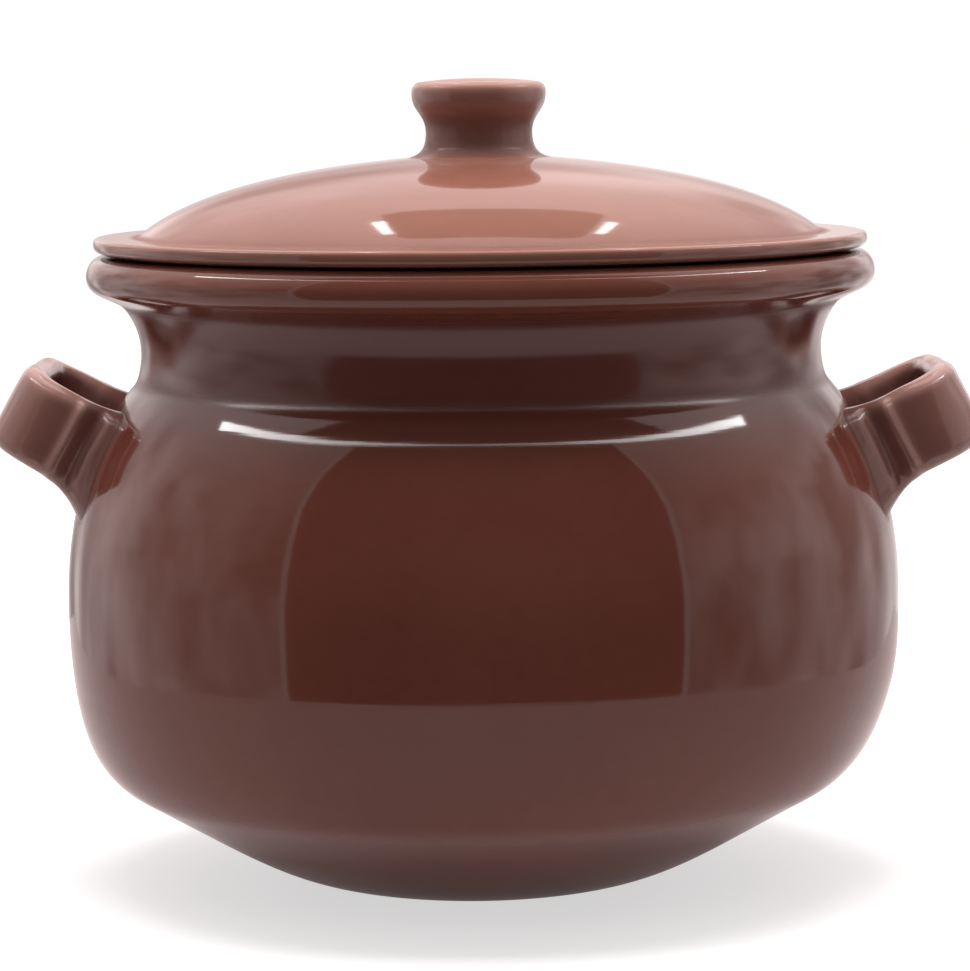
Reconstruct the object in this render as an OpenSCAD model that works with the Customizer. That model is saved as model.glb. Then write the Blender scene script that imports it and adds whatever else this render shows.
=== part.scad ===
// Glazed terracotta cooking pot with two loop handles and a loose domed lid.
// Millimetres, +Z up, origin at the middle of the flat base, handles along X.

/* [Pot body] */
// Widest diameter of the belly
belly_d = 248; // [232:1:280]
// Height of the widest point of the belly
belly_z = 82; // [65:1:100]
// Diameter of the flat base
base_d = 80; // [40:1:130]
// Diameter at the heel, where the straight underside ends
heel_d = 210; // [185:1:225]
// Height of the heel
heel_z = 28.5; // [18:0.5:45]
// Slope of the underside at the heel
underside_slope = 30; // [18:1:42]
// Slope of the shoulder where it meets the neck
shoulder_slope = 46; // [30:1:60]
// Height of the whole pot to the top of its rim
pot_h = 187; // [165:1:230]
// Thickness of the thrown wall
wall = 7; // [4:0.5:10]

/* [Neck and rim] */
// Diameter of the neck at its waist
neck_d = 202; // [180:1:220]
// Height of the neck, from the crease at the shoulder to the rim
neck_h = 23.5; // [14:0.5:34]
// How far the neck flares out at the crease
neck_foot_flare = 1.5; // [0:0.5:6]
// How far the neck flares out under the rim
neck_top_flare = 5.5; // [1:0.5:9]
// Height of the rolled rim
rim_h = 14.5; // [11:0.5:22]
// How far the rim stands out from the waist of the neck
rim_overhang = 15.8; // [12:0.2:24]
// Round of the upper edge of the rim
rim_upper_round = 6.5; // [3:0.5:8]
// Round of the lower edge of the rim
rim_lower_round = 5; // [2:0.5:6]
// How much wider the mouth is than the bore of the neck
mouth_flare = 5; // [0:0.5:7]
// Depth of the straight mouth below the top of the rim
mouth_depth = 13; // [6:0.5:18]
// Round of the inner edge of the rim
mouth_round = 3; // [1:0.5:4]

/* [Lid] */
// How far the edge of the lid stays inside the edge of the rim
lid_inset = 1.6; // [0:0.2:5]
// Thickness of the flange that lies on the rim
flange_t = 5; // [3:0.5:9]
// Width of the flange, from its edge to the foot of the dome
flange_w = 13.5; // [8:0.5:20]
// Rise of the dome from the flange to the seat of the knob
dome_h = 22.4; // [14:0.2:45]
// Slope of the dome at its foot
dome_foot_slope = 40; // [28:1:55]
// Slope of the dome at the seat of the knob
dome_seat_slope = 5; // [1:1:10]
// Thickness of the dome
lid_wall = 6.5; // [4:0.5:9]
// Play between the collar and the mouth, on each side
collar_clearance = 2; // [0.5:0.5:5]
// Thickness of the collar
collar_wall = 5; // [3:0.5:8]
// How far the collar drops into the mouth
collar_drop = 11; // [5:0.5:16]
// Gap between the flange and the top of the rim
seat_gap = 0.2; // [0.1:0.1:1]

/* [Knob] */
// Height of the knob above its seat
knob_h = 23.4; // [21:0.2:35]
// Diameter of the foot of the knob
knob_foot_d = 43; // [36:1:60]
// Diameter of the waist of the knob
knob_waist_d = 32; // [20:1:35]
// Height of the waist above the seat
knob_waist_h = 7.6; // [4:0.2:12]
// Diameter of the head of the knob
knob_d = 39.8; // [34:0.2:56]
// Height of the widest point of the head above the seat
knob_head_h = 18.9; // [15:0.2:20]
// Round of the upper edge of the head
knob_top_round = 4; // [1:0.5:6]

/* [Handles] */
// Tilt of the right loop above level
handle_tilt = 26; // [10:1:36]
// How much steeper the left loop stands, as set by hand
left_tilt_more = 4; // [-5:1:5]
// Height of the crease of the shoulder above the root of the right loop
handle_drop = 19.5; // [18:0.5:34]
// How much higher the left loop sits, as set by hand
left_rise = 1.5; // [-3:0.5:3]
// How far the right loop reaches out from the pot
handle_reach = 31.5; // [28:0.5:48]
// How much less the left loop reaches out, as set by hand
left_reach_less = 2.5; // [-3:0.5:3]
// Width of each loop over its two legs
handle_w = 64; // [52:1:96]
// Outer radius of the corners of the loop
handle_corner = 17; // [11:0.5:22]
// Width of the strap
strap_w = 25.5; // [16:0.5:32]
// Thickness of the strap
strap_t = 8.5; // [6:0.5:10]
// Round of the edges of the strap
strap_round = 3.4; // [1:0.2:3.8]
// How far the pressed feet spread beyond the strap, on each side
foot_spread = 2.5; // [1:0.5:6]
// How far the feet are pressed outwards and down from the middle of the strap
foot_lean = 1.5; // [0:0.5:5]
// Length over which the feet spread
foot_length = 11; // [6:0.5:14]
// Slip line left between the feet and the wall
slip_gap = 0.1; // [0.05:0.05:0.5]

/* [Hidden] */
$fn = 120;

glaze = "#6b3a2e";
glaze_light = "#8a5546";

// Straight steps in each drawn curve, and in each small edge round
curve_steps = 10;
round_steps = 6;

// Lengths of the curves' end tangents, as shares of the curve's own chord
base_pull = [0.28, 0.55];
heel_pull = [0.26, 0.5];
shoulder_pull = [0.39, 0.32];
dome_pull = [0.28, 0.33];
hollow_pull = [0.15, 0.45];
knob_foot_pull = [0.37, 0.37];
knob_head_pull = [0.45, 0.45];

// Heights and radii of the pot
crease_z = pot_h - rim_h - neck_h;
neck_r = neck_d / 2;
rim_r = neck_r + rim_overhang;
rim_mid_z = pot_h - rim_upper_round;
mouth_r = neck_r - wall + mouth_flare;
rim_under_slope = 25;

// Heights and radii of the lid
flange_z = pot_h + seat_gap;
flange_r = rim_r - lid_inset;
dome_foot = [flange_r - flange_w, flange_z + flange_t];
seat_r = knob_foot_d / 2;
seat_z = dome_foot[1] + dome_h;
collar_r = mouth_r - collar_clearance;
hollow_r = collar_r - collar_wall;
hollow_slope = 60;
knob_foot_slope = 18;

// Unit vector at an angle above level
function heading(angle) = [cos(angle), sin(angle)];

// Cubic curve between two points, with its end headings and pulls, as four control points
function curve(start, start_angle, end, end_angle, pull) =
    let (
        chord = norm(end - start),
        leave = start + pull[0] * chord * heading(start_angle),
        arrive = end - pull[1] * chord * heading(end_angle)
    )
    [start, leave, arrive, end];

// Point and heading of such a curve at the share t of its run
function curve_point(c, t) =
    pow(1 - t, 3) * c[0] + 3 * pow(1 - t, 2) * t * c[1] + 3 * (1 - t) * t * t * c[2] + pow(t, 3) * c[3];
function curve_heading(c, t) =
    pow(1 - t, 2) * (c[1] - c[0]) + 2 * (1 - t) * t * (c[2] - c[1]) + t * t * (c[3] - c[2]);

// Points along a curve, each with the direction that faces out of the clay
function run(c, steps = curve_steps) = [
    for (i = [0:steps])
        let (t = i / steps, h = curve_heading(c, t))
        [curve_point(c, t), [h[1], -h[0]] / norm(h)]
];

// A run's points, moved out of the clay by a distance
function skin(samples, out = 0) = [for (s = samples) s[0] + out * s[1]];

// Points of a circular arc
function arc(centre, radius, from, to, steps = round_steps) =
    [for (i = [0:steps]) centre + radius * heading(from + (to - from) * i / steps)];

// A hollow curve between two points that narrows to a waist at the middle of its run
function waisted(foot, waist_r, top) =
    let (pull_r = (waist_r - (foot[0] + top[0]) / 8) * 4 / 3, rise = top[1] - foot[1])
    [foot, [pull_r, foot[1] + rise / 3], [pull_r, foot[1] + 2 * rise / 3], top];

function reversed(list) = [for (i = [len(list) - 1:-1:0]) list[i]];

// Outside of the pot, from the edge of the base up to the crease
base_edge = [base_d / 2, 0];
heel = [heel_d / 2, heel_z];
belly = [belly_d / 2, belly_z];
crease = [neck_r + neck_foot_flare, crease_z];
base_run = run(curve(base_edge, 0, heel, underside_slope, base_pull));
heel_run = run(curve(heel, underside_slope, belly, 90, heel_pull));
shoulder_run = run(curve(belly, 90, crease, 180 - shoulder_slope, shoulder_pull));
side_run = concat(base_run, heel_run, shoulder_run);

// Radius of the shoulder at a height
function shoulder_r(z) = lookup(z, [for (s = shoulder_run) [s[0][1], s[0][0]]]);

// How deep the feet are drawn, past the wall's curve between them, before the wall cuts them off
foot_half = handle_w / 2 + foot_lean + foot_spread;
function foot_sink(root_r) = root_r - sqrt(max(0, pow(root_r, 2) - pow(foot_half, 2))) + wall;
foot_slice = 0.5;

// Outside of the neck and the rolled rim, up to the flat top of the rim
neck_top = [neck_r + neck_top_flare, pot_h - rim_h];
neck_points = skin(run(waisted(crease, neck_r, neck_top)));
rim_points = concat(
    arc([rim_r - rim_lower_round, rim_mid_z], rim_lower_round, rim_under_slope - 90, 0),
    arc([rim_r - rim_upper_round, rim_mid_z], rim_upper_round, 0, 90));

// Inside of the bowl, up to the flat ring on which the neck is luted, and inside of the neck
inner_side = skin(side_run, -wall);
luting_edge = [crease[0] - wall, crease_z];
mouth_foot = [mouth_r, pot_h - mouth_depth];
inner_neck = skin(run(waisted(luting_edge, neck_r - wall, mouth_foot)));
mouth_points = arc([mouth_r + mouth_round, pot_h - mouth_round], mouth_round, 90, 180);

// Solid of revolution about the pot's axis
module turned(outline) {
    rotate_extrude() polygon(outline);
}

// Thrown bowl: flat base, full belly and shoulder, with a flat ring on top for the neck
module pot_body() {
    color(glaze) turned(concat([[0, 0]], skin(side_run), [luting_edge], reversed(inner_side), [[0, wall]]));
}

// Hollow neck with its rolled rim, luted on the shoulder at the crease
module neck_rim() {
    color(glaze) turned(concat(neck_points, rim_points, mouth_points, reversed(inner_neck)));
}

// Solid filled out to the bowl's outside, with the slip line added
module pot_space() {
    turned(concat([[0, -slip_gap]], skin(side_run, slip_gap), [[0, crease_z]]));
}

// Section of the strap, thickness by width, spread on every side
module strap_section(spread = 0) {
    thick = strap_t + 2 * spread;
    wide = strap_w + 2 * spread;
    square([thick - 2 * strap_round, wide], center = true);
    square([thick, wide - 2 * strap_round], center = true);
    for (side = [-1, 1], end = [-1, 1])
        translate([side * (thick / 2 - strap_round), end * (wide / 2 - strap_round)])
            circle(r = strap_round, $fn = 32);
}

// Strap run straight out along X
module strap_along_x(length, spread = 0) {
    rotate([90, 0, 90]) linear_extrude(length) strap_section(spread);
}

// One leg of a loop, with its pressed foot, on the side of the loop where Y has the sign given
module handle_leg(length, side, sink) {
    growth = (foot_length + sink) / foot_length;
    lean = foot_lean * growth;
    translate([-sink, 0, 0]) strap_along_x(length + sink);
    hull() {
        translate([foot_length - foot_slice, 0, 0]) strap_along_x(foot_slice);
        translate([-sink, side * lean, -lean]) strap_along_x(foot_slice, foot_spread * growth);
    }
}

// A loop that stands out along X from the middle of its root, in its own plane, its legs sunk behind it
module handle_loop(reach, sink) {
    leg = reach - handle_corner;
    bow = handle_w - 2 * handle_corner;
    for (side = [-1, 1]) {
        translate([0, side * (handle_w - strap_t) / 2, 0]) handle_leg(leg, side, sink);
        translate([leg, side * bow / 2, 0])
            rotate([0, 0, side < 0 ? -90 : 0])
                rotate_extrude(angle = 90) translate([handle_corner - strap_t / 2, 0]) strap_section();
    }
    translate([reach - strap_t / 2, bow / 2, 0])
        rotate([90, 0, 0]) linear_extrude(bow) strap_section();
}

// A loop set on the shoulder, facing +X, cut to the wall that it is pressed on
module handle(tilt, drop, reach) {
    root_z = crease_z - drop;
    root_r = shoulder_r(root_z);
    difference() {
        translate([root_r, 0, root_z]) rotate([0, -tilt, 0]) handle_loop(reach, foot_sink(root_r));
        pot_space();
    }
}

// Loop handle on the left shoulder
module left_handle() {
    tilt = handle_tilt + left_tilt_more;
    drop = handle_drop - left_rise;
    color(glaze) rotate([0, 0, 180]) handle(tilt, drop, handle_reach - left_reach_less);
}

// Loop handle on the right shoulder
module right_handle() {
    color(glaze) handle(handle_tilt, handle_drop, handle_reach);
}

// Lid: flat flange with a round edge, hollow dome, and a flat seat for the knob
module lid() {
    seat = [seat_r, seat_z];
    dome = skin(run(curve(dome_foot, 180 - dome_foot_slope, seat, 180 - dome_seat_slope, dome_pull)));
    edge = arc([flange_r - flange_t / 2, flange_z + flange_t / 2], flange_t / 2, -90, 90);
    hollow_top = [0, seat_z - lid_wall];
    hollow = skin(run(curve([hollow_r, flange_z], 180 - hollow_slope, hollow_top, 180, hollow_pull)));
    color(glaze_light) turned(concat(edge, dome, [[0, seat_z]], reversed(hollow)));
}

// Collar under the lid that keeps it centred in the mouth
module lid_collar() {
    lip = collar_wall / 2;
    low = flange_z - collar_drop;
    bottom = arc([collar_r - lip, low + lip], lip, -180, 0, 2 * round_steps);
    color(glaze) turned(concat(bottom, [[collar_r, flange_z], [hollow_r, flange_z]]));
}

// Turned knob: spreading foot, waist, and a head with a flat top
module lid_knob() {
    foot = [seat_r, 0];
    waist = [knob_waist_d / 2, knob_waist_h];
    head = [knob_d / 2, knob_head_h];
    edge_r = min(knob_top_round, knob_h - knob_head_h);
    lower = skin(run(curve(foot, 180 - knob_foot_slope, waist, 90, knob_foot_pull)));
    upper = skin(run(curve(waist, 90, head, 90, knob_head_pull)));
    edge = arc([head[0] - edge_r, knob_h - edge_r], edge_r, 0, 90);
    color(glaze) translate([0, 0, seat_z]) turned(concat([[0, 0]], lower, upper, edge, [[0, knob_h]]));
}

pot_body();
neck_rim();
left_handle();
right_handle();
lid();
lid_collar();
lid_knob();
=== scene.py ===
"""Looks of a glazed terracotta cooking pot with two loop handles and a loose domed lid.

Metres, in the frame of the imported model: +Z up, handles along X, the viewer towards -Y.
"""

import math

import bpy
import numpy as np
from mathutils import Matrix, Vector, kdtree, noise


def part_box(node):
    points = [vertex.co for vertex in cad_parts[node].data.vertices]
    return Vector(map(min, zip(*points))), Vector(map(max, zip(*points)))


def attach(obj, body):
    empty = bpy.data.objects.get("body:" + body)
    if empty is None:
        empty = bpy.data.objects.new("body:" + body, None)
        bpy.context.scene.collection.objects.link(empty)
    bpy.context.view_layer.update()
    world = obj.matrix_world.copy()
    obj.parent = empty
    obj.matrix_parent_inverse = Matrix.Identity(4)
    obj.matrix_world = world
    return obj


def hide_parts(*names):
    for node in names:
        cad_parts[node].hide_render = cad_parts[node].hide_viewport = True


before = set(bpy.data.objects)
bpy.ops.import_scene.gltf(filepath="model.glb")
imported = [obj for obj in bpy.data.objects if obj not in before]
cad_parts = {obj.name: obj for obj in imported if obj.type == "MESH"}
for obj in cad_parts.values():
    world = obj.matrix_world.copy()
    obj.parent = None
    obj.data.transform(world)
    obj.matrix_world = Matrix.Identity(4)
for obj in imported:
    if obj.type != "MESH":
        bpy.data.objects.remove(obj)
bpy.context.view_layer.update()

MM = 0.001

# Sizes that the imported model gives
BELLY_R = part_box("pot_body")[1].x
CREASE_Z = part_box("pot_body")[1].z
RIM_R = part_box("neck_rim")[1].x
POT_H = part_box("neck_rim")[1].z
FLANGE_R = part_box("lid")[1].x
FLANGE_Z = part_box("lid")[0].z
SEAT_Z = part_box("lid")[1].z
COLLAR_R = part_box("lid_collar")[1].x
COLLAR_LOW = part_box("lid_collar")[0].z
SEAT_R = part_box("lid_knob")[1].x
KNOB_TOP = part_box("lid_knob")[1].z

# Bowl
BELLY_Z = 82 * MM
BASE_R = 40 * MM
HEEL_R = 105 * MM
HEEL_Z = 28.5 * MM
UNDERSIDE_SLOPE = 30
SHOULDER_SLOPE = 46
WALL = 7 * MM
BASE_PULL = (0.28, 0.55)
HEEL_PULL = (0.26, 0.5)
SHOULDER_PULL = (0.39, 0.32)

# Neck and rim
NECK_R = 101 * MM
NECK_FOOT_FLARE = 1.5 * MM
NECK_TOP_FLARE = 5.5 * MM
RIM_H = 14.5 * MM
RIM_UPPER_ROUND = 6.5 * MM
RIM_CROWN = 5.2 * MM
RIM_LOWER_ROUND = 5 * MM
RIM_UNDER_SLOPE = 25
MOUTH_FLARE = 5 * MM
MOUTH_DEPTH = 13 * MM
MOUTH_ROUND = 3 * MM

# Lid and knob
FLANGE_T = 5 * MM
FLANGE_W = 13.5 * MM
FLANGE_LOWER_ROUND = 2.2 * MM
FLANGE_UNDERCUT = 7 * MM
FLANGE_UPPER_ROUND = 0.9 * MM
FLANGE_TRIM = 0.6 * MM
DOME_FOOT_SLOPE = 40
DOME_SEAT_SLOPE = 5
DOME_PULL = (0.28, 0.33)
LID_WALL = 6.5 * MM
COLLAR_WALL = 5 * MM
HOLLOW_SLOPE = 60
HOLLOW_PULL = (0.15, 0.45)
KNOB_SKIRT = 1.5 * MM
KNOB_DIP = 0.1 * MM
KNOB_SKIRT_EDGE = 0.2 * MM
KNOB_SEAT_SINK = 0.5 * MM
KNOB_WAIST_R = 15.8 * MM
KNOB_WAIST_H = 7.6 * MM
KNOB_R = 19.9 * MM
KNOB_HEAD_H = 18.9 * MM
KNOB_TOP_ROUND = 2.6 * MM
KNOB_CROWN = 1.0 * MM
KNOB_CROWN_SLOPE = 7
KNOB_FOOT_PULL = (0.5, 0.5)
KNOB_HEAD_PULL = (0.45, 0.45)
KNOB_CROWN_PULL = (0.35, 0.35)

# Handles, the left one set a little higher and steeper than the right
HANDLE_TURN = {"left": 180, "right": 0}
HANDLE_TILT = {"left": 30, "right": 26}
HANDLE_ROOT = {"left": CREASE_Z - 18 * MM, "right": CREASE_Z - 19.5 * MM}
HANDLE_REACH = {"left": 29 * MM, "right": 31.5 * MM}
HANDLE_SEED = {"left": 1.7, "right": 4.1}
HANDLE_W = 64 * MM
HANDLE_CORNER = 17 * MM
STRAP_W = 25.5 * MM
STRAP_T = 8.5 * MM
STRAP_ROUND = 3.8 * MM
STRAP_CROWN = 0.5 * MM
FOOT_LENGTH = 11 * MM
FOOT_SINK = 1.8 * MM
FOOT_FACE = 3.4 * MM
FOOT_INNER = 2.0 * MM
FOOT_TOP = 2.0 * MM
FOOT_BOTTOM = 7.0 * MM
FOOT_EASE = 2.2
GROOVE_AT = 0.42
GROOVE_DEPTH = 1.6 * MM
RIDGE_AT = 0.74
RIDGE_HEIGHT = 1.7 * MM
PRESS_WIDTH = 0.13
FOOT_SEARCH = (-45 * MM, 20 * MM)
FOOT_HALVINGS = 40

# How finely the pieces are drawn
LINE_SPACING = 0.9 * MM
FINE_SPACING = 0.6 * MM
INSIDE_SPACING = 3 * MM
ON_AXIS = 0.0001 * MM
SEGMENTS = 224
POT_PASSES = 3
FINE_PASSES = 2
STRAP_POINTS = 72
STRAP_SPACING = 1.0 * MM
STRAP_FINENESS = 8
LOOP_PASSES = 8
FOOT_STEPS = 30

# Marks of the hand and the wheel
RING_PITCH = 8.5 * MM
RING_DEPTH = 0.012 * MM
RING_SWAY = 0.7
RING_SWAY_RISE = 9 * MM
RING_FADE = (0.55, 0.45)
RING_FADE_PITCH = 53 * MM
RING_FADE_PHASE = 1.1
SWELL_PITCH = 31 * MM
SWELL_DEPTH = 0.05 * MM
SWELL_PHASE = 0.8
SWELL_SWAY = 0.5
MARKS_LOW = 4 * MM
MARKS_LOW_RUN = 14 * MM
MARKS_HIGH = 1 * MM
MARKS_HIGH_RUN = 4 * MM
DOME_MARKS_RUN = 4 * MM
SEAT_MARKS_RUN = 8 * MM
OVAL_DEPTH = 0.22 * MM
OVAL_PHASE = 0.7
THREE_SIDED_SHARE = 0.5
THREE_SIDED_PHASE = 2.2
LUMP_DEPTH = 0.45 * MM
LUMP_SIZE = 13 * MM
LUMP_OFFSETS = ((0.0, 0.0, 0.0), (31.4, 7.3, 2.9), (5.6, 47.2, 11.8))
SAG = 2.4 * MM
SAG_TOP = 70 * MM
SAG_LOW = 20 * MM

# Glaze, from deep pools to thin edges
GLAZE_TONES = (
    (0.2, (0.058, 0.017, 0.0115)),
    (0.5, (0.116, 0.034, 0.0225)),
    (0.8, (0.184, 0.066, 0.045)),
    (1.0, (0.27, 0.12, 0.085)),
)
GLAZE_MID_TONE = 0.5
GLAZE_DEPTH_TONE = -0.15
GLAZE_EDGE_RADIUS = 6 * MM
GLAZE_CLOUD_SCALE = 16
GLAZE_CLOUD_TONE = 0.12
GLAZE_MOTTLE_SCALE = 240
GLAZE_MOTTLE_TONE = 0.035
GLAZE_RIPPLE_SCALE = 300
GLAZE_RIPPLE_BUMP = (0.04 * MM, 0.1)
GLAZE_LINE_SCALE = (9, 9, 620)
GLAZE_LINE_BUMP = (0.06 * MM, 0.22)
GLAZE_IOR = 1.47
COAT_ROUGHNESS = 0.05
GLOSSY = (0.045, 0.085)
SATIN = (0.16, 0.24)
SOFT = (0.26, 0.34)
# Painted light and sheen: the lid's glaze is paler and greyer to stand in for its brightly lit,
# sheened top
LID_PAINTED_LIGHT = 0.15
LID_SHEEN_TINT = (1.12, 1.36, 1.42)
LOOP_COAT = 0.45
# Painted reflection: the loops' glaze is paler and greyer to stand in for the bright side walls
# they mirror
LOOP_PAINTED_LIGHT = 0.25
LOOP_SHEEN_TINT = (1.0, 1.22, 1.45)
KNOB_COAT = 0.35
# Painted light and reflection: the knob's glaze is paler and greyer to stand in for its lit waist
# mirroring the pale lid
KNOB_PAINTED_LIGHT = 0.36
KNOB_SHEEN_TINT = (0.94, 1.04, 1.15)

# Where the glaze pools, and where the base is left bare
POOL_DULLNESS = 0.4
FOOT_POOL = 0.8
FOOT_POOL_RUN = 0.12
GROOVE_POOL = 0.4
RIDGE_THINNING = 0.5
STRAP_EDGE_SPAN = 1.5 * STRAP_ROUND
FEET_FROM_X = 95 * MM
FEET_FROM_Z = 80 * MM
FEET_POOL = 0.6
FEET_POOL_RUN = 2 * MM
BARE_HEIGHT = 0.4 * MM
BARE_R = BASE_R + 6 * MM

# Bare clay
CLAY_TONES = (
    (0.3, (0.3, 0.1, 0.05)),
    (0.5, (0.46, 0.17, 0.085)),
    (0.7, (0.58, 0.26, 0.15)),
)
CLAY_CLOUD_SCALE = 30
CLAY_CLOUD_SHARE = 0.6
CLAY_GRIT_SCALE = 1500
CLAY_GRIT_SHARE = 0.4
CLAY_GRIT_BUMP = (0.25 * MM, 0.5)
CLAY_ROUGHNESS = 0.88

# Photograph's view
VIEW_FROM = Vector((0.0007, -1.1, 0.2395))
VIEW_AIM = Vector((0.0007, 0, 0.1165))
VIEW_LENS = 136.8
VIEW_ROLL = -0.6
VIEW_NEAREST = 0.05

# Floor, and the table board that the glaze mirrors in the floor's place, whose glow is painted
# light with a painted shadow under the pot
FLOOR_SIDE = 2.5
FLOOR_BACK = 3.0
FLOOR_FRONT = -0.88
FLOOR_DROP = 0.0002
FLOOR_PALE = 0.4
FLOOR_GLOW = 0.62
TABLE_R = 0.365
TABLE_BACK = 0.5
TABLE_STEPS = 36
TABLE_PALE = 0.25
TABLE_SHARES = (0.2, 0.27, 0.36, 0.6, 1.0)
# Painted light on the board in rings, dim close under the pot as a painted shadow
TABLE_PAINTED_LIGHT = (0.15, 0.5, 0.45, 0.34, 0.32)
STAGE_ROUGHNESS = 0.9

# Dark opening towards the viewer and its lit edges, their widths in degrees
OPENING_R = 1.45
OPENING_LOW = -1.0
OPENING_TOP = 3.0
OPENING_HALF = 52
OPENING_STEPS = 24
ROOM_PALE = 0.011
ROOM_GLOW = 0.06
EDGE_WIDTH = 1.6
EDGE_GLOW = 0.9

# Ceiling that the glaze mirrors: a dark front, a dim slot, a ribbon of light and two spots
CEILING_Z = 1.15
CEILING_BACK = -0.2
SLOT_X = (-0.2, 0.26)
SLOT_Y = (0.225, 0.87)
SLOT_ROUND = 0.08
SLOT_GLOW = 0.35
LIGHTS_Z = 1.14
RIBBON_PATH = (
    (0, -0.65), (0.25, -0.62), (0.48, -0.545), (0.72, -0.4), (0.9, -0.22), (1.04, 0.0), (1.2, 0.35))
RIBBON_SPACING = 0.02
RIBBON_PASSES = 30
RIBBON_WIDTH = (0.022, 0.12)
RIBBON_GLOW = (4.0, 18.0)
SPOT_X = (-0.215, 0.289)
SPOT_Y = (0.36, 0.64)
SPOT_WIDTH = 0.03
SPOT_GLOW = 12.0

# Lamps
LAMP_AIM = Vector((0, 0, 0.14))
TOP_AT = Vector((0, 0.05, 1.5))
TOP_SIZE = (1.0, 0.8)
TOP_POWER = 38.0
FRONT_AT = Vector((0, -1.2, 1.25))
FRONT_SIZE = (1.2, 0.6)
FRONT_POWER = 3.5

# White walls all round, brighter at the back and upwards, with faint clouds low down
WARM_WHITE = (1.0, 0.88, 0.87)
FRONT_GLOW = 0.52
HORIZON_GLOW = 0.85
SKY_LIFT = 1.5
BACK_SPAN = (-0.55, 0.25)
CLOUD_SCALE = 3.2
CLOUD_SPAN = (0.35, 0.68)
CLOUD_RANGE = (0.55, 1.7)
CLOUD_TOP = (0.3, 0.55)


def heading(angle):
    """Unit vector at an angle above level, in degrees."""
    return np.array([math.cos(math.radians(angle)), math.sin(math.radians(angle))])


def cubic(a, b, c, d, steps=60):
    """Points along a cubic curve with four control points."""
    t = np.linspace(0, 1, steps + 1)[:, None]
    a, b, c, d = (np.asarray(p, float) for p in (a, b, c, d))
    return (1 - t) ** 3 * a + 3 * (1 - t) ** 2 * t * b + 3 * (1 - t) * t ** 2 * c + t ** 3 * d


def curve(start, start_angle, end, end_angle, pull):
    """Points of a cubic curve between two points, with its end headings and pulls."""
    start, end = np.asarray(start, float), np.asarray(end, float)
    chord = np.linalg.norm(end - start)
    leave = start + pull[0] * chord * heading(start_angle)
    arrive = end - pull[1] * chord * heading(end_angle)
    return cubic(start, leave, arrive, end)


def waisted(foot, waist_r, top):
    """Points of a hollow curve that narrows to a waist at the middle of its run."""
    # A cubic's middle is an eighth of both ends and three eighths of both pulls
    pull_r = (waist_r - (foot[0] + top[0]) / 8) * 4 / 3
    rise = top[1] - foot[1]
    return cubic(foot, (pull_r, foot[1] + rise / 3), (pull_r, foot[1] + 2 * rise / 3), top)


def arc(centre, radius, start, end, steps=24):
    """Points of a circular arc, its angles in degrees."""
    angles = np.linspace(start, end, steps + 1)
    return np.array([np.asarray(centre) + radius * heading(angle) for angle in angles])


def oval_arc(centre, across, up, start, end):
    """Points of an arc of an ellipse, its angles in degrees."""
    return np.asarray(centre) + arc((0, 0), 1, start, end) * (across, up)


def resample(points, spacing):
    """The same line with points at an even spacing."""
    points = np.asarray(points, float)
    lengths = np.linalg.norm(np.diff(points, axis=0), axis=1)
    along = np.concatenate([[0], np.cumsum(lengths)])
    at = np.linspace(0, along[-1], max(3, int(round(along[-1] / spacing)) + 1))
    return np.column_stack([np.interp(at, along, points[:, axis]) for axis in (0, 1)])


def soften(points, passes, closed=False):
    """Rounds the corners of a line as a coat of glaze does."""
    for _ in range(passes):
        eased = (np.roll(points, 1, axis=0) + 2 * points + np.roll(points, -1, axis=0)) / 4
        if not closed:
            eased[0], eased[-1] = points[0], points[-1]
        points = eased
    return points


def line_headings(points, closed=False):
    """Unit heading at each point of a line."""
    if closed:
        steps = np.roll(points, -1, axis=0) - np.roll(points, 1, axis=0)
    else:
        steps = np.gradient(points, axis=0)
    return steps / np.linalg.norm(steps, axis=1)[:, None]


def glaze_depth(points, closed=False, passes=4):
    """How deep the glaze lies along a line: above 0 in hollows, below 0 over edges."""
    along = line_headings(points, closed)
    ahead, behind = np.roll(along, -1, axis=0), np.roll(along, 1, axis=0)
    turn = behind[:, 0] * ahead[:, 1] - behind[:, 1] * ahead[:, 0]
    if not closed:
        turn[0] = turn[-1] = 0
    spacing = np.linalg.norm(points[1] - points[0])
    bend = np.clip(-turn / (2 * spacing) * GLAZE_EDGE_RADIUS, -1, 1)
    return soften(bend[:, None], passes, closed)[:, 0]


def bowl_outside():
    """Outside of the bowl, from the edge of the base up to the crease."""
    base_edge, heel = (BASE_R, 0), (HEEL_R, HEEL_Z)
    belly, crease = (BELLY_R, BELLY_Z), (NECK_R + NECK_FOOT_FLARE, CREASE_Z)
    return np.concatenate([
        curve(base_edge, 0, heel, UNDERSIDE_SLOPE, BASE_PULL),
        curve(heel, UNDERSIDE_SLOPE, belly, 90, HEEL_PULL)[1:],
        curve(belly, 90, crease, 180 - SHOULDER_SLOPE, SHOULDER_PULL)[1:],
    ])


def neck_outside():
    """Outside of the neck and the rolled rim, from the crease to the mouth's inner edge."""
    neck_top = (NECK_R + NECK_TOP_FLARE, POT_H - RIM_H)
    rim_mid_z = POT_H - RIM_UPPER_ROUND
    mouth_r = NECK_R - WALL + MOUTH_FLARE
    return np.concatenate([
        waisted((NECK_R + NECK_FOOT_FLARE, CREASE_Z), NECK_R, neck_top),
        arc((RIM_R - RIM_LOWER_ROUND, rim_mid_z), RIM_LOWER_ROUND, RIM_UNDER_SLOPE - 90, 0),
        oval_arc((RIM_R - RIM_CROWN, rim_mid_z), RIM_CROWN, RIM_UPPER_ROUND, 0, 90)[1:],
        arc((mouth_r + MOUTH_ROUND, POT_H - MOUTH_ROUND), MOUTH_ROUND, 90, 180),
    ])


def pot_outside():
    """Outline of bowl, neck and rim, from the axis under the base to the mouth's inner edge."""
    return np.concatenate([[(0, 0)], bowl_outside(), neck_outside()[1:]])


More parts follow.
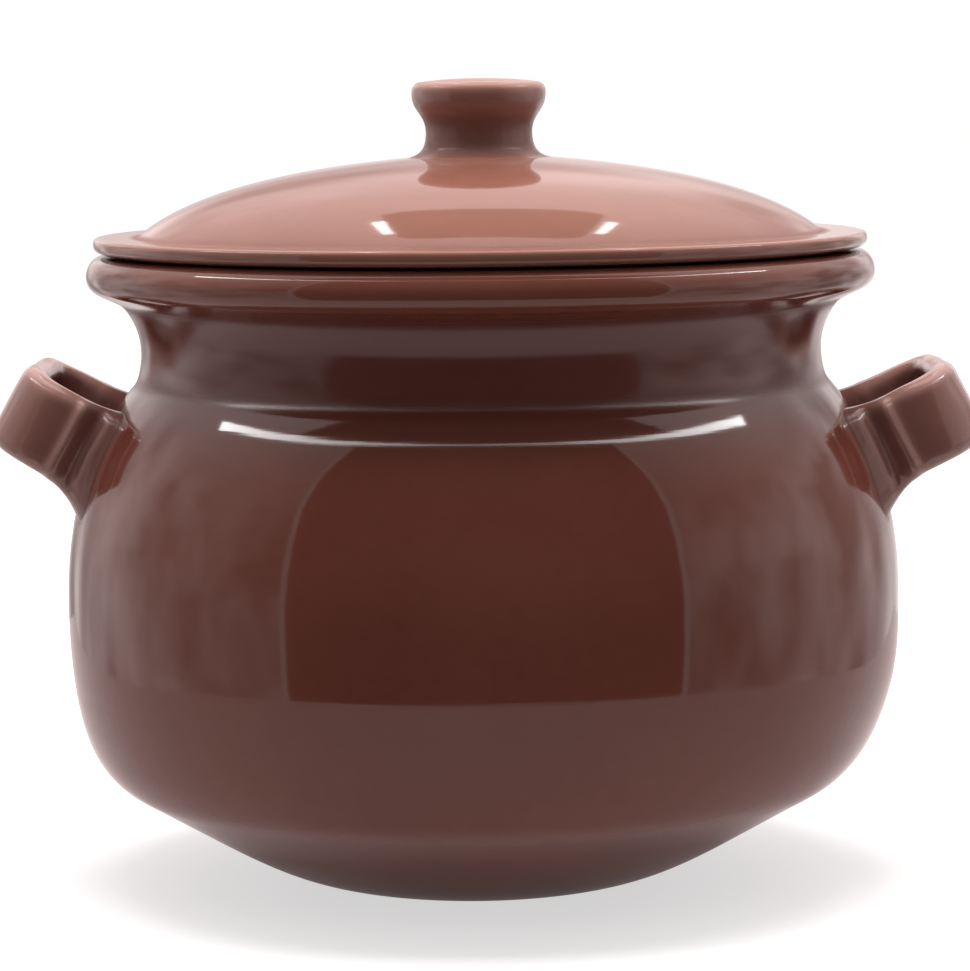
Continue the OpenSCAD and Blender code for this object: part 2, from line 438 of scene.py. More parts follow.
def pot_inside():
    """Outline of the inside, from the mouth's inner edge down to the axis on the floor."""
    outside = bowl_outside()
    along = line_headings(outside)
    inside = outside - WALL * np.column_stack([along[:, 1], -along[:, 0]])
    luting_edge = (NECK_R + NECK_FOOT_FLARE - WALL, CREASE_Z)
    mouth_foot = (NECK_R - WALL + MOUTH_FLARE, POT_H - MOUTH_DEPTH)
    inner_neck = waisted(luting_edge, NECK_R - WALL, mouth_foot)
    return np.concatenate([neck_outside()[-1:], inner_neck[::-1], inside[::-1], [(0, WALL)]])


def dome_line():
    """Top of the lid's dome, from its foot on the flange to the seat of the knob."""
    foot = (FLANGE_R - FLANGE_W, FLANGE_Z + FLANGE_T)
    return curve(foot, 180 - DOME_FOOT_SLOPE, (SEAT_R, SEAT_Z), 180 - DOME_SEAT_SLOPE, DOME_PULL)


def lid_outline():
    """Outline of the lid, from the axis in its hollow, round the flange, to the axis on top."""
    hollow_r = COLLAR_R - COLLAR_WALL
    top = (0, SEAT_Z - LID_WALL)
    hollow = curve((hollow_r, FLANGE_Z), 180 - HOLLOW_SLOPE, top, 180, HOLLOW_PULL)
    low, high, rim_r = FLANGE_LOWER_ROUND, FLANGE_UPPER_ROUND, FLANGE_R - FLANGE_TRIM
    edge = np.concatenate([
        oval_arc((rim_r - FLANGE_UNDERCUT, FLANGE_Z + low), FLANGE_UNDERCUT, low, -90, 0),
        arc((rim_r - high, FLANGE_Z + FLANGE_T - high), high, 0, 90),
    ])
    return np.concatenate([hollow[::-1], edge, dome_line(), [(0, SEAT_Z)]])


def collar_outline():
    """Closed outline of the collar under the lid."""
    lip = COLLAR_WALL / 2
    bottom = arc((COLLAR_R - lip, COLLAR_LOW + lip), lip, -180, 0)
    return np.concatenate([bottom, [(COLLAR_R, FLANGE_Z), (COLLAR_R - COLLAR_WALL, FLANGE_Z)]])


def knob_outline():
    """Outline of the knob, with a thin skirt that runs out on the dome."""
    dome = dome_line()[::-1]
    seat_z = SEAT_Z - KNOB_SEAT_SINK
    skirt_r = SEAT_R + KNOB_SKIRT
    skirt = (skirt_r, float(np.interp(skirt_r, dome[:, 0], dome[:, 1])) - KNOB_DIP)
    waist = (KNOB_WAIST_R, SEAT_Z + KNOB_WAIST_H)
    head = (KNOB_R, SEAT_Z + KNOB_HEAD_H)
    edge = (KNOB_R - KNOB_TOP_ROUND, KNOB_TOP - KNOB_CROWN - KNOB_TOP_ROUND)
    rise = (edge[0], KNOB_TOP - KNOB_CROWN)
    return np.concatenate([
        [(0, seat_z), (SEAT_R, seat_z), (skirt_r, skirt[1] - KNOB_SKIRT_EDGE)],
        curve(skirt, 180 - DOME_SEAT_SLOPE, waist, 90, KNOB_FOOT_PULL),
        curve(waist, 90, head, 90, KNOB_HEAD_PULL)[1:],
        arc(edge, KNOB_TOP_ROUND, 0, 90),
        curve(rise, 180 - KNOB_CROWN_SLOPE, (0, KNOB_TOP), 180, KNOB_CROWN_PULL)[1:],
    ])


def wheel_marks(points, theta):
    """Fine throwing rings and slow swells, along the normal of the outside."""
    z = points[:, 1:2]
    rise = 2 * math.pi * z
    sway = RING_SWAY * np.sin(2 * theta + z / RING_SWAY_RISE)
    fade = RING_FADE[0] + RING_FADE[1] * np.sin(rise / RING_FADE_PITCH + RING_FADE_PHASE)
    rings = RING_DEPTH * fade * np.sin(rise / RING_PITCH + theta + sway)
    swells = SWELL_DEPTH * np.sin(rise / SWELL_PITCH + SWELL_PHASE + SWELL_SWAY * np.sin(theta))
    return rings + swells


def oval(theta, z):
    """How far the pot is out of round at a height."""
    grow = np.clip(z / BELLY_Z, 0, 1) ** 2
    two_sided = np.cos(2 * theta + OVAL_PHASE)
    three_sided = THREE_SIDED_SHARE * np.cos(3 * theta + THREE_SIDED_PHASE)
    return OVAL_DEPTH * grow * (two_sided + three_sided)


def sag(z):
    """How far the underside has settled to the left at a height."""
    low = np.clip((SAG_TOP - z) / (SAG_TOP - SAG_LOW), 0, 1)
    return -SAG * low * low * (3 - 2 * low)


def mesh_object(name, verts, faces, depth, materials):
    """A smooth mesh object that carries its glaze depth as a point attribute."""
    mesh = bpy.data.meshes.new(name)
    mesh.from_pydata([tuple(v) for v in verts], [], faces)
    mesh.polygons.foreach_set("use_smooth", [True] * len(faces))
    layer = mesh.attributes.new("glaze_depth", "FLOAT", "POINT")
    layer.data.foreach_set("value", np.asarray(depth, np.float32))
    for material in materials:
        mesh.materials.append(material)
    mesh.validate()
    obj = bpy.data.objects.new(name, mesh)
    bpy.context.scene.collection.objects.link(obj)
    return obj


def lathe_faces(rows, closed):
    """Quads between the rows of a lathe, each row a list of vertex numbers or one pole."""
    faces = []
    pairs = list(zip(rows, rows[1:]))
    if closed:
        pairs.append((rows[-1], rows[0]))
    for low, high in pairs:
        for j in range(SEGMENTS):
            k = (j + 1) % SEGMENTS
            if len(low) == 1:
                faces.append((low[0], high[k], high[j]))
            elif len(high) == 1:
                faces.append((low[j], low[k], high[0]))
            else:
                faces.append((low[j], low[k], high[k], high[j]))
    return faces


def turned_line(outline, spacing, passes, closed, inside):
    """A lathe's outline with its corners softened, and the glaze depth along it."""
    line = np.concatenate([outline, outline[:1]]) if closed else outline
    line = resample(line, spacing)
    line = soften(line[:-1] if closed else line, passes, closed)
    depth = glaze_depth(line, closed)
    if inside is None:
        return line, depth
    inner = soften(resample(inside, INSIDE_SPACING), 1)[1:]
    return np.concatenate([line, inner]), np.concatenate([depth, np.zeros(len(inner))])


def lathe(name, outline, materials, passes, spacing=LINE_SPACING, closed=False, inside=None,
          weight=None, settled=False):
    """A turned piece: its outline, softened and swept round the axis.

    A weight along the outline brings in the marks of the wheel, and a settled piece is out of
    round and leans at its foot.
    """
    line, depth = turned_line(outline, spacing, passes, closed, inside)
    along = line_headings(line, closed)
    theta = np.arange(SEGMENTS) * 2 * math.pi / SEGMENTS
    shift = np.zeros((len(line), SEGMENTS))
    if weight is not None:
        shift = wheel_marks(line, theta) * weight(line)[:, None]
    radius = line[:, :1] + along[:, 1:] * shift
    height = line[:, 1:] - along[:, :1] * shift
    aside = np.zeros(len(line))
    if settled:
        radius = radius + oval(theta, line[:, 1:])
        aside = sag(line[:, 1])
    verts, values, rows = [], [], []
    for i, (r, z) in enumerate(line):
        count = 1 if r < ON_AXIS else SEGMENTS
        rows.append(list(range(len(verts), len(verts) + count)))
        values.extend([depth[i]] * count)
        if count == 1:
            verts.append((aside[i], 0, z))
        else:
            x, y = aside[i] + radius[i] * np.cos(theta), radius[i] * np.sin(theta)
            verts.extend(np.column_stack([x, y, height[i]]))
    return mesh_object(name, verts, lathe_faces(rows, closed), values, materials)


def fade_in(value, start, run):
    """Grows from 0 at a start to 1 at the end of a run."""
    return np.clip((value - start) / run, 0, 1)


def pot_weight(line):
    """Full marks on the pot's walls, fading out at the base and on top of the rim."""
    z = line[:, 1]
    return fade_in(z, MARKS_LOW, MARKS_LOW_RUN) * fade_in(POT_H - z, MARKS_HIGH, MARKS_HIGH_RUN)


def lid_weight(line):
    """Full marks on the dome only."""
    over_flange = fade_in(line[:, 1], FLANGE_Z + FLANGE_T, DOME_MARKS_RUN)
    return over_flange * fade_in(line[:, 0], SEAT_R, SEAT_MARKS_RUN)


def set_ride(obj, body, slot, *nodes):
    """Ties a piece to its body and hides the nodes that it stands for; its slot argument is not
    used.
    """
    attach(obj, body)
    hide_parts(*nodes)


def wall_radius(z):
    """Radius of the bowl's outside at a height."""
    outside = bowl_outside()
    return np.interp(z, outside[:, 1], outside[:, 0])


def to_pot(local, name):
    """Points of a loop's own plane, as out, across and up along the strap, in the pot's frame."""
    tilt, root_z = math.radians(HANDLE_TILT[name]), HANDLE_ROOT[name]
    out = np.array([math.cos(tilt), 0, math.sin(tilt)])
    up = np.array([-math.sin(tilt), 0, math.cos(tilt)])
    root = np.array([float(wall_radius(root_z)), 0, root_z])
    return root + local[:, :1] * out + local[:, 1:2] * np.array([0, 1, 0]) + local[:, 2:] * up


def on_wall(local, name):
    """The same points moved along the loop until they lie on the bowl's outside."""
    near, far = (np.full(len(local), end) for end in FOOT_SEARCH)
    for _ in range(FOOT_HALVINGS):
        middle = (near + far) / 2
        trial = to_pot(np.column_stack([middle, local[:, 1:]]), name)
        inside = np.hypot(trial[:, 0], trial[:, 1]) < wall_radius(trial[:, 2])
        near, far = np.where(inside, middle, near), np.where(inside, far, middle)
    return np.column_stack([near, local[:, 1:]])


def strap_ring():
    """Soft rectangle of the strap's section, thickness by width, with its outward directions."""
    flat, tall = STRAP_T / 2 - STRAP_ROUND, STRAP_W / 2 - STRAP_ROUND
    corners = ((flat, tall, 0), (-flat, tall, 90), (-flat, -tall, 180), (flat, -tall, 270))
    line = np.concatenate([arc((x, y), STRAP_ROUND, turn, turn + 90) for x, y, turn in corners])
    ring = resample(np.concatenate([line, line[:1]]), STRAP_SPACING / STRAP_FINENESS)[:-1]
    ring = ring[np.linspace(0, len(ring), STRAP_POINTS, endpoint=False).astype(int)]
    ring[:, 0] *= 1 - STRAP_CROWN / (STRAP_T / 2) * (ring[:, 1] / (STRAP_W / 2)) ** 2
    along = line_headings(ring, True)
    return ring, np.column_stack([along[:, 1], -along[:, 0]])


def strap_edges():
    """Glaze depth round the strap's section: thin over its two long edges."""
    ring, _ = strap_ring()
    from_edge = STRAP_W / 2 - np.abs(ring[:, 1])
    return -np.clip((STRAP_EDGE_SPAN - from_edge) / STRAP_ROUND, 0, 1)


def loop_path(reach):
    """Middle line of the strap in the loop's plane, from one leg round to the other."""
    leg = reach - HANDLE_CORNER
    bow = HANDLE_W / 2 - HANDLE_CORNER
    bend = HANDLE_CORNER - STRAP_T / 2
    side = (HANDLE_W - STRAP_T) / 2
    path = np.concatenate([
        [(FOOT_LENGTH, -side)],
        arc((leg, -bow), bend, -90, 0),
        arc((leg, bow), bend, 0, 90),
        [(FOOT_LENGTH, side)],
    ])
    return soften(resample(path, STRAP_SPACING), LOOP_PASSES)


def foot_outward():
    """How far and where each point of the strap's section moves where its foot spreads fully."""
    _, out = strap_ring()
    face = np.where(out[:, 0] > 0, FOOT_FACE, FOOT_INNER)
    edge = np.where(out[:, 1] > 0, FOOT_TOP, FOOT_BOTTOM)
    return out * (out[:, 0] ** 2 * face + out[:, 1] ** 2 * edge)[:, None]


def foot_press(t):
    """Groove and ridge that a finger pressed in a foot, from the wall at 0 to the leg at 1."""
    groove = math.exp(-((t - GROOVE_AT) / PRESS_WIDTH) ** 2)
    ridge = math.exp(-((t - RIDGE_AT) / PRESS_WIDTH) ** 2)
    return groove, ridge


def foot_depth(t):
    """Glaze depth round a foot: deep at the wall and in the groove, thin over ridge and edges."""
    groove, ridge = foot_press(t)
    pool = FOOT_POOL * max(0, 1 - t / FOOT_POOL_RUN)
    return pool + GROOVE_POOL * groove - RIDGE_THINNING * ridge + t * strap_edges()


def foot_rings(side, name):
    """Rings of a pressed foot, from inside the wall up to the leg, with their glaze depth."""
    strap, out = strap_ring()
    outer = np.clip(out[:, :1], 0, 1) ** 2 * out
    spread_out = foot_outward()

    def ring_at(t):
        groove, ridge = foot_press(t)
        press = RIDGE_HEIGHT * ridge - GROOVE_DEPTH * groove
        section = strap + (1 - t) ** FOOT_EASE * spread_out + press * outer
        across = side * ((HANDLE_W - STRAP_T) / 2 + section[:, 0])
        return np.column_stack([np.full(STRAP_POINTS, FOOT_LENGTH), across, section[:, 1]])

    foot = on_wall(ring_at(0), name)
    rings, depths = [foot - np.array([FOOT_SINK, 0, 0])], [np.full(STRAP_POINTS, FOOT_POOL)]
    for step in range(FOOT_STEPS):
        t = step / FOOT_STEPS
        ring = ring_at(t)
        ring[:, 0] = (1 - t) * foot[:, 0] + t * FOOT_LENGTH
        rings.append(ring)
        depths.append(foot_depth(t))
    return rings, depths


def lumpy(points, seed):
    """Points pushed about a little, as clay shaped by hand."""
    moved = []
    for p in points:
        spot = Vector(p) / LUMP_SIZE + Vector((seed, 2 * seed, 3 * seed))
        push = Vector([noise.noise(spot + Vector(aside)) for aside in LUMP_OFFSETS])
        moved.append(Vector(p) + LUMP_DEPTH * push)
    return moved


def strap_faces(count):
    """Quads along a strap of so many rings, with a cap at each end."""
    faces = []
    last = (count - 1) * STRAP_POINTS
    for low in range(0, last, STRAP_POINTS):
        high = low + STRAP_POINTS
        for j in range(STRAP_POINTS):
            k = (j + 1) % STRAP_POINTS
            faces.append((low + j, low + k, high + k, high + j))
    faces.append(tuple(range(STRAP_POINTS))[::-1])
    faces.append(tuple(range(last, last + STRAP_POINTS)))
    return faces


def handle(name, material):
    """The loop handle on one shoulder."""
    strap, _ = strap_ring()
    path = loop_path(HANDLE_REACH[name])
    rings, depths = foot_rings(-1, name)
    for centre, way in zip(path, line_headings(path)):
        across = np.array([way[1], -way[0]])
        rings.append(np.column_stack([centre + strap[:, :1] * across, strap[:, 1]]))
        depths.append(strap_edges())
    far_rings, far_depths = foot_rings(1, name)
    rings += far_rings[::-1]
    depths += far_depths[::-1]
    spin = Matrix.Rotation(math.radians(HANDLE_TURN[name]), 3, "Z")
    verts = [spin @ p for ring in rings for p in lumpy(to_pot(ring, name), HANDLE_SEED[name])]
    values = [value for ring in depths for value in ring]
    return mesh_object("handle_" + name, verts, strap_faces(len(rings)), values, [material])


def nodes_of(name):
    """A new node material, its tree and its main shader."""
    material = bpy.data.materials.new(name)
    material.use_nodes = True
    return material, material.node_tree, material.node_tree.nodes["Principled BSDF"]


def add(tree, kind, **settings):
    """A new node with its settings."""
    node = tree.nodes.new(kind)
    for key, value in settings.items():
        setattr(node, key, value)
    return node


def noise_node(tree, place, scale, detail=3.0, rough=0.5):
    """Noise of a scale, in cells to the metre."""
    node = add(tree, "ShaderNodeTexNoise")
    node.inputs["Scale"].default_value = scale
    node.inputs["Detail"].default_value = detail
    node.inputs["Roughness"].default_value = rough
    tree.links.new(place, node.inputs["Vector"])
    return node.outputs["Fac"]


def feed(tree, value, socket):
    """Sets a socket to a number, or links it to another socket."""
    if isinstance(value, (int, float)):
        socket.default_value = value
    else:
        tree.links.new(value, socket)


def maths(tree, operation, *values):
    """A math node on sockets or numbers."""
    node = add(tree, "ShaderNodeMath", operation=operation)
    for socket, value in zip(node.inputs, values):
        feed(tree, value, socket)
    return node.outputs[0]


def mix(tree, share, a, b):
    """A mix of two sockets or numbers."""
    node = add(tree, "ShaderNodeMix")
    for name, value in (("Factor", share), ("A", a), ("B", b)):
        feed(tree, value, node.inputs[name])
    return node.outputs["Result"]


def mix_colours(tree, share, a, b):
    """A mix of two colours."""
    node = add(tree, "ShaderNodeMix", data_type="RGBA")
    tree.links.new(share, node.inputs["Factor"])
    for socket, colour in zip([s for s in node.inputs if s.type == "RGBA"], (a, b)):
        socket.default_value = (*colour, 1)
    return next(s for s in node.outputs if s.type == "RGBA")


def ramp(tree, value, stops):
    """A colour ramp through stops of place and colour."""
    node = add(tree, "ShaderNodeValToRGB")
    elements = node.color_ramp.elements
    while len(elements) < len(stops):
        elements.new(0.5)
    for element, (place, colour) in zip(elements, stops):
        element.position = place
        element.color = (*colour, 1)
    tree.links.new(value, node.inputs["Fac"])
    return node.outputs["Color"]


def tinted(stops, tint):
    """The stops of a ramp with their colours multiplied by a tint."""
    return [(place, tuple(np.multiply(colour, tint))) for place, colour in stops]


def spread(tree, value, low, high, span=(0, 1)):
    """A value mapped from a span to a range."""
    node = add(tree, "ShaderNodeMapRange")
    node.inputs["From Min"].default_value, node.inputs["From Max"].default_value = span
    node.inputs["To Min"].default_value = low
    node.inputs["To Max"].default_value = high
    tree.links.new(value, node.inputs["Value"])
    return node.outputs["Result"]


def bump(tree, height, distance, strength, onto=None):
    """A bump node, added onto another normal if one is given."""
    node = add(tree, "ShaderNodeBump")
    node.inputs["Distance"].default_value = distance
    node.inputs["Strength"].default_value = strength
    tree.links.new(height, node.inputs["Height"])
    if onto is not None:
        tree.links.new(onto, node.inputs["Normal"])
    return node.outputs["Normal"]


def glaze_material(name, lines, rough, coat=0.0, painted_lift=0.0, tint=(1, 1, 1)):
    """Glossy brown glaze over red clay, darker where it pools and lighter over edges.

    It has brushed lines or none, a range of roughness, a clear coat, a painted lift that makes the
    whole tone paler as painted light and sheen, and a tint, which greys the lid, loops and knob as
    painted sheen.
    """
    material, tree, shader = nodes_of(name)
    place = add(tree, "ShaderNodeTexCoord").outputs["Object"]
    depth = add(tree, "ShaderNodeAttribute", attribute_name="glaze_depth").outputs["Fac"]
    cloud = noise_node(tree, place, GLAZE_CLOUD_SCALE, detail=4)
    mottle = noise_node(tree, place, GLAZE_MOTTLE_SCALE)
    # Painted light: the lift makes the whole tone paler, standing in for the light and sheen on the
    # lid, loops and knob
    tone = maths(tree, "MULTIPLY_ADD", depth, GLAZE_DEPTH_TONE, GLAZE_MID_TONE + painted_lift)
    tone = maths(tree, "ADD", tone, spread(tree, cloud, -GLAZE_CLOUD_TONE, GLAZE_CLOUD_TONE))
    tone = maths(tree, "ADD", tone, spread(tree, mottle, -GLAZE_MOTTLE_TONE, GLAZE_MOTTLE_TONE))
    tree.links.new(ramp(tree, tone, tinted(GLAZE_TONES, tint)), shader.inputs["Base Color"])
    dullness = maths(tree, "MULTIPLY", maths(tree, "MAXIMUM", depth, 0.0), POOL_DULLNESS)
    roughness = maths(tree, "ADD", spread(tree, cloud, *rough), dullness)
    tree.links.new(roughness, shader.inputs["Roughness"])
    shader.inputs["IOR"].default_value = GLAZE_IOR
    shader.inputs["Coat Weight"].default_value = coat
    shader.inputs["Coat Roughness"].default_value = COAT_ROUGHNESS
    ripple = noise_node(tree, place, GLAZE_RIPPLE_SCALE, detail=2)
    normal = bump(tree, ripple, *GLAZE_RIPPLE_BUMP)
    if lines:
        normal = bump(tree, brushed_lines(tree, place), *GLAZE_LINE_BUMP, onto=normal)
    tree.links.new(normal, shader.inputs["Normal"])
    return material


def brushed_lines(tree, place):
    """Fine level lines left by the potter's sponge."""
    squash = add(tree, "ShaderNodeMapping")
    squash.inputs["Scale"].default_value = GLAZE_LINE_SCALE
    tree.links.new(place, squash.inputs["Vector"])
    return noise_node(tree, squash.outputs["Vector"], 1, rough=0.6)


def clay_material(name):
    """Bare fired red clay, matt and gritty."""
    material, tree, shader = nodes_of(name)
    place = add(tree, "ShaderNodeTexCoord").outputs["Object"]
    cloud = noise_node(tree, place, CLAY_CLOUD_SCALE, detail=5, rough=0.6)
    grit = noise_node(tree, place, CLAY_GRIT_SCALE, rough=0.7)
    clouded = maths(tree, "MULTIPLY", cloud, CLAY_CLOUD_SHARE)
    tone = maths(tree, "ADD", clouded, maths(tree, "MULTIPLY", grit, CLAY_GRIT_SHARE))
    tree.links.new(ramp(tree, tone, CLAY_TONES), shader.inputs["Base Color"])
    shader.inputs["Roughness"].default_value = CLAY_ROUGHNESS
    tree.links.new(bump(tree, grit, *CLAY_GRIT_BUMP), shader.inputs["Normal"])
    return material


def bare_base(pot):
    """Leaves the flat base of the pot unglazed."""
    for polygon in pot.data.polygons:
        spot = polygon.center
        if spot.z < BARE_HEIGHT and math.hypot(spot.x, spot.y) < BARE_R:
            polygon.material_index = 1


def pool_round_feet(pot, handles):
    """Deepens the glaze on the pot where the handles' feet meet it."""
    feet = [v.co for h in handles for v in h.data.vertices]
    tree = kdtree.KDTree(len(feet))
    for index, spot in enumerate(feet):
        tree.insert(spot, index)
    tree.balance()
    layer = pot.data.attributes["glaze_depth"]
    for vertex, value in zip(pot.data.vertices, layer.data):
        if abs(vertex.co.x) > FEET_FROM_X and vertex.co.z > FEET_FROM_Z:
            gap = tree.find(vertex.co)[2]
            value.value = max(value.value, FEET_POOL * math.exp(-(gap / FEET_POOL_RUN) ** 2))


def build_pot():
    """All the pieces of the pot and its lid."""
    thrown = glaze_material("thrown_glaze", True, GLOSSY)
    # the loops' glaze carries a painted reflection of the side walls
    modelled = glaze_material("modelled_glaze", False, SATIN, LOOP_COAT, LOOP_PAINTED_LIGHT, LOOP_SHEEN_TINT)
    # the lid's glaze carries painted light and sheen
    pale = glaze_material("lid_glaze", True, GLOSSY, painted_lift=LID_PAINTED_LIGHT, tint=LID_SHEEN_TINT)
    # the knob's glaze carries painted light and a painted reflection of the lid
    soft = glaze_material("knob_glaze", True, SOFT, KNOB_COAT, KNOB_PAINTED_LIGHT, KNOB_SHEEN_TINT)
    clay = clay_material("bare_clay")
    pot = lathe("thrown_pot", pot_outside(), [thrown, clay], POT_PASSES, inside=pot_inside(),
                weight=pot_weight, settled=True)
    left = handle("left", modelled)
    right = handle("right", modelled)
    lid = lathe("lid_dome", lid_outline(), [pale], FINE_PASSES, FINE_SPACING, weight=lid_weight)
    collar = lathe("lid_ring", collar_outline(), [clay], FINE_PASSES, closed=True)
    knob = lathe("knob", knob_outline(), [soft], FINE_PASSES, FINE_SPACING)
    bare_base(pot)
    pool_round_feet(pot, [left, right])
    set_ride(pot, "pot", "brown_glaze", "pot_body", "neck_rim")
    set_ride(left, "pot", "brown_glaze", "left_handle")
    set_ride(right, "pot", "brown_glaze", "right_handle")
    set_ride(lid, "cover", "brown_glaze", "lid")
    set_ride(collar, "cover", "bare_clay", "lid_collar")
    set_ride(knob, "cover", "brown_glaze", "lid_knob")


def plain_material(name, pale, glow=0.0, tint=(1, 1, 1)):
    """A matt material for the stage with a glow of its own, the mesh's if none is given."""
    material, tree, shader = nodes_of(name)
    shader.inputs["Base Color"].default_value = (*(pale * part for part in tint), 1)
    shader.inputs["Roughness"].default_value = STAGE_ROUGHNESS
    shader.inputs["Specular IOR Level"].default_value = 0
    shader.inputs["Emission Color"].default_value = (*tint, 1)
    if glow is None:
        own = add(tree, "ShaderNodeAttribute", attribute_name="glow").outputs["Fac"]
        tree.links.new(own, shader.inputs["Emission Strength"])
    else:
        shader.inputs["Emission Strength"].default_value = glow
    return material


def stage_mesh(name, verts, faces, material, glow=None):
    """A piece of the stage, with a glow at each point where one is given."""
    mesh = bpy.data.meshes.new(name)
    mesh.from_pydata(verts, [], faces)
    mesh.materials.append(material)
    if glow is not None:
        layer = mesh.attributes.new("glow", "FLOAT", "POINT")
        layer.data.foreach_set("value", np.asarray(glow, np.float32))
    obj = bpy.data.objects.new(name, mesh)
    bpy.context.scene.collection.objects.link(obj)
    return obj


def sheet(name, corners, height, material):
    """A level sheet of the stage at a height."""
    verts = [(x, y, height) for x, y in corners]
    return stage_mesh(name, verts, [tuple(range(len(verts)))], material)


def rectangle(x_span, y_span):
    """Corners of a level rectangle."""
    (x0, x1), (y0, y1) = x_span, y_span
    return ((x0, y0), (x1, y0), (x1, y1), (x0, y1))


def soft_rectangle(x_span, y_span, radius):
    """Outline of a level rectangle with round corners."""
    (x0, x1), (y0, y1) = x_span, y_span
    left, right, front, back = x0 + radius, x1 - radius, y0 + radius, y1 - radius
    centres = ((right, back, 0), (left, back, 90), (left, front, 180), (right, front, 270))
    return np.concatenate([arc((x, y), radius, turn, turn + 90) for x, y, turn in centres])


def strip_faces(count):
    """Quads between two rows of points."""
    return [(i, i + 1, count + i + 1, count + i) for i in range(count - 1)]


def floor():
    """A pale floor that only the camera sees."""
    corners = rectangle((-FLOOR_SIDE, FLOOR_SIDE), (FLOOR_FRONT, FLOOR_BACK))
    pale = plain_material("pale_floor", FLOOR_PALE, FLOOR_GLOW)
    seen = sheet("floor", corners, -FLOOR_DROP, pale)
    seen.visible_glossy = False
    seen.visible_diffuse = False
    seen.visible_shadow = False


def table():
    """The table board that the glaze mirrors in the floor's place; its glow is painted light, low
    close under the pot as a painted shadow.
    """
    bow = [tuple(TABLE_R * heading(angle)) for angle in np.linspace(180, 360, TABLE_STEPS + 1)]
    edge = np.array(bow + [(TABLE_R, TABLE_BACK), (-TABLE_R, TABLE_BACK)])
    count = len(edge)
    verts = [(x, y, -2 * FLOOR_DROP) for share in TABLE_SHARES for x, y in share * edge]
    faces = [tuple(range(count))]
    for low in range(0, len(verts) - count, count):
        for j in range(count):
            k = (j + 1) % count
            faces.append((low + j, low + count + j, low + count + k, low + k))
    wood = plain_material("table_board", TABLE_PALE, None, WARM_WHITE)
    board = stage_mesh("table", verts, faces, wood, np.repeat(TABLE_PAINTED_LIGHT, count))
    board.visible_camera = False


def mirrored_only(obj):
    """Hides a stage piece from all but the glaze's reflections."""
    obj.visible_camera = False
    obj.visible_diffuse = False
    obj.visible_shadow = False


def round_wall(name, start, end, material):
    """A piece of an upright round wall in front of the pot, between two angles off the middle."""
    turns = np.radians(np.linspace(start, end, OPENING_STEPS + 1))
    spots = [(OPENING_R * math.sin(t), -OPENING_R * math.cos(t)) for t in turns]
    verts = [(x, y, z) for z in (OPENING_LOW, OPENING_TOP) for x, y in spots]
    obj = stage_mesh(name, verts, strip_faces(len(spots)), material)
    obj.visible_camera = False
    return obj


def opening():
    """The dark front of the studio, behind the camera, that shows as a dark patch in the glaze."""
    dark = plain_material("dark_room", ROOM_PALE, ROOM_GLOW)
    light = plain_material("opening_edge", 0.0, EDGE_GLOW)
    round_wall("dark_opening", -OPENING_HALF, OPENING_HALF, dark)
    outer = OPENING_HALF + EDGE_WIDTH
    for name, side in (("opening_edge_left", -1), ("opening_edge_right", 1)):
        mirrored_only(round_wall(name, side * OPENING_HALF, side * outer, light))
    front = [(x, y) for x, y in ribbon_line() if y < CEILING_BACK]
    mirrored_only(sheet("dark_ceiling", front, CEILING_Z, dark))


def slot():
    """A dim slot in the ceiling that shows as a darker patch on the front of the lid."""
    corners = soft_rectangle(SLOT_X, SLOT_Y, SLOT_ROUND)
    mirrored_only(sheet("dim_slot", corners, CEILING_Z, plain_material("dim_slot", 0.0, SLOT_GLOW)))


def ribbon_line():
    """Bowed line of the light above the front of the pot, from left to right."""
    right = np.array(RIBBON_PATH, float)
    left = (right * (-1, 1))[:0:-1]
    return soften(resample(np.concatenate([left, right]), RIBBON_SPACING), RIBBON_PASSES)


def ribbon():
    """A thin bowed line of light above the pot's front, brightest and widest at its ends."""
    path = ribbon_line()
    share = np.clip(np.abs(path[:, 0]) / RIBBON_PATH[-1][0], 0, 1) ** 2
    along = line_headings(path)
    width = np.interp(share, (0, 1), RIBBON_WIDTH)[:, None]
    across = np.column_stack([-along[:, 1], along[:, 0]]) * width / 2
    verts = [(x, y, LIGHTS_Z) for x, y in np.concatenate([path - across, path + across])]
    glow = np.tile(np.interp(share, (0, 1), RIBBON_GLOW), 2)
    light = plain_material("ribbon_light", 0.0, None)
    mirrored_only(stage_mesh("light_ribbon", verts, strip_faces(len(path)), light, glow))


def spots():
    """Two narrow lights beside the slot that show as bright points on the front of the lid."""
    light = plain_material("spot_light", 0.0, SPOT_GLOW)
    for name, x in zip(("spot_left", "spot_right"), SPOT_X):
        corners = rectangle((x - SPOT_WIDTH / 2, x + SPOT_WIDTH / 2), SPOT_Y)
        mirrored_only(sheet(name, corners, LIGHTS_Z, light))


def lamp(name, place, size, power):
    """A soft box that points at the pot, too soft to show in the glaze."""
    data = bpy.data.lights.new(name, "AREA")
    data.shape = "RECTANGLE"
    data.size, data.size_y = size
    data.energy = power
    obj = bpy.data.objects.new(name, data)
    obj.location = place
    obj.rotation_euler = (LAMP_AIM - place).to_track_quat("-Z", "Y").to_euler()
    obj.visible_camera = False
    obj.visible_glossy = False
    bpy.context.scene.collection.objects.link(obj)


def wall_glow(tree, backwards, height):
    """Glow of the walls, from dim in front to bright at the back, and brighter upwards there."""
    squared = maths(tree, "MULTIPLY", height, height)
    lift = maths(tree, "MULTIPLY_ADD", squared, SKY_LIFT, HORIZON_GLOW)
    return mix(tree, spread(tree, backwards, 0, 1, BACK_SPAN), FRONT_GLOW, lift)


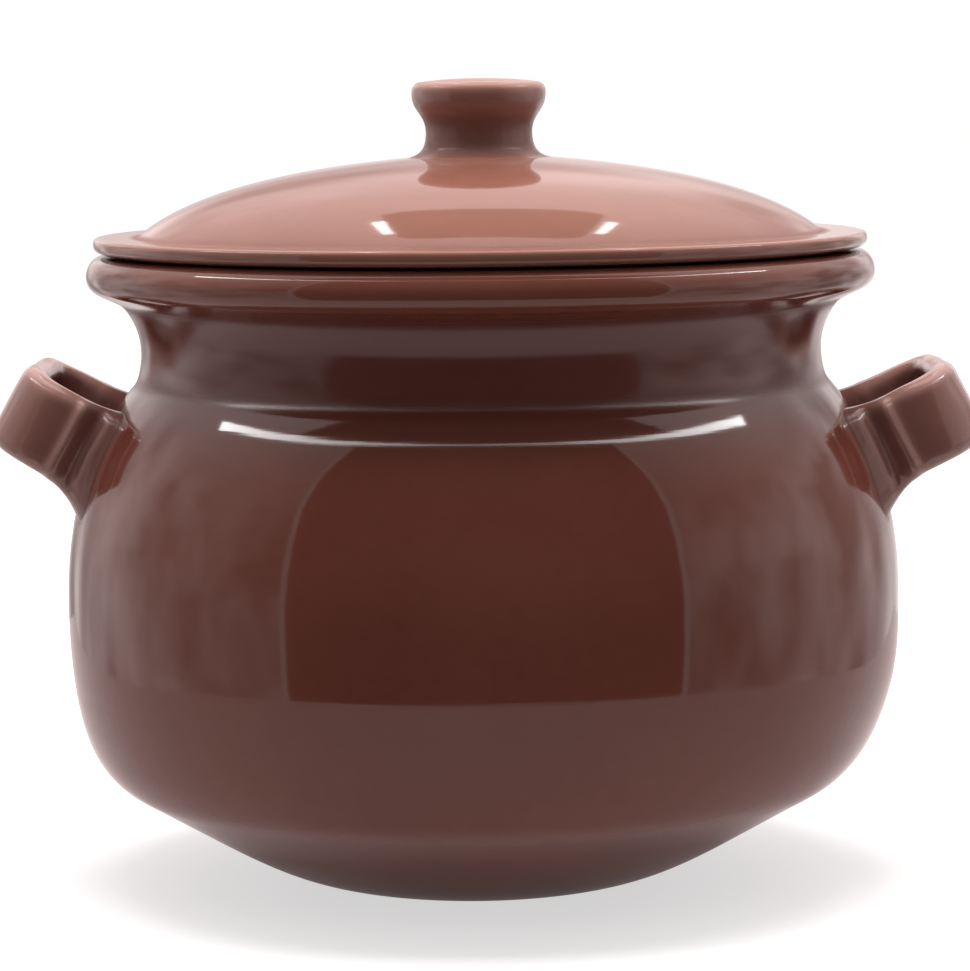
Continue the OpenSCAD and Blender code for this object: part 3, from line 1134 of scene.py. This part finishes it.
def wall_clouds(tree, place, height):
    """Faint clouds low on the walls, as a factor that is 1 higher up."""
    cloud = noise_node(tree, place, CLOUD_SCALE, detail=2)
    uneven = spread(tree, cloud, *CLOUD_RANGE, span=CLOUD_SPAN)
    return mix(tree, spread(tree, height, 0, 1, CLOUD_TOP), uneven, 1)


def surroundings():
    """White walls, brighter up the back, a little cloudy, that the camera sees as plain white."""
    world = bpy.data.worlds.new("white_studio")
    world.use_nodes = True
    tree = world.node_tree
    place = add(tree, "ShaderNodeTexCoord").outputs["Generated"]
    split = add(tree, "ShaderNodeSeparateXYZ")
    tree.links.new(place, split.inputs[0])
    height = maths(tree, "MAXIMUM", split.outputs["Z"], 0.0)
    glow = wall_glow(tree, split.outputs["Y"], height)
    glow = maths(tree, "MULTIPLY", glow, wall_clouds(tree, place, height))
    to_camera = add(tree, "ShaderNodeLightPath").outputs["Is Camera Ray"]
    background = tree.nodes["Background"]
    tint = mix_colours(tree, to_camera, WARM_WHITE, (1, 1, 1))
    tree.links.new(tint, background.inputs["Color"])
    tree.links.new(mix(tree, to_camera, glow, 1), background.inputs["Strength"])
    bpy.context.scene.world = world


def studio():
    """White surroundings, a dark opening towards the viewer and soft light from above."""
    bpy.context.scene.view_settings.view_transform = "Standard"
    surroundings()
    floor()
    table()
    opening()
    slot()
    ribbon()
    spots()
    lamp("lamp_top", TOP_AT, TOP_SIZE, TOP_POWER)
    lamp("lamp_front", FRONT_AT, FRONT_SIZE, FRONT_POWER)


def camera():
    """The photograph's point of view."""
    data = bpy.data.cameras.new("camera")
    data.lens = VIEW_LENS
    data.clip_start = VIEW_NEAREST
    obj = bpy.data.objects.new("camera", data)
    aim = (VIEW_AIM - VIEW_FROM).to_track_quat("-Z", "Y").to_matrix().to_4x4()
    roll = Matrix.Rotation(math.radians(VIEW_ROLL), 4, "Z")
    obj.matrix_world = Matrix.Translation(VIEW_FROM) @ aim @ roll
    bpy.context.scene.collection.objects.link(obj)
    bpy.context.scene.camera = obj


build_pot()
studio()
camera()
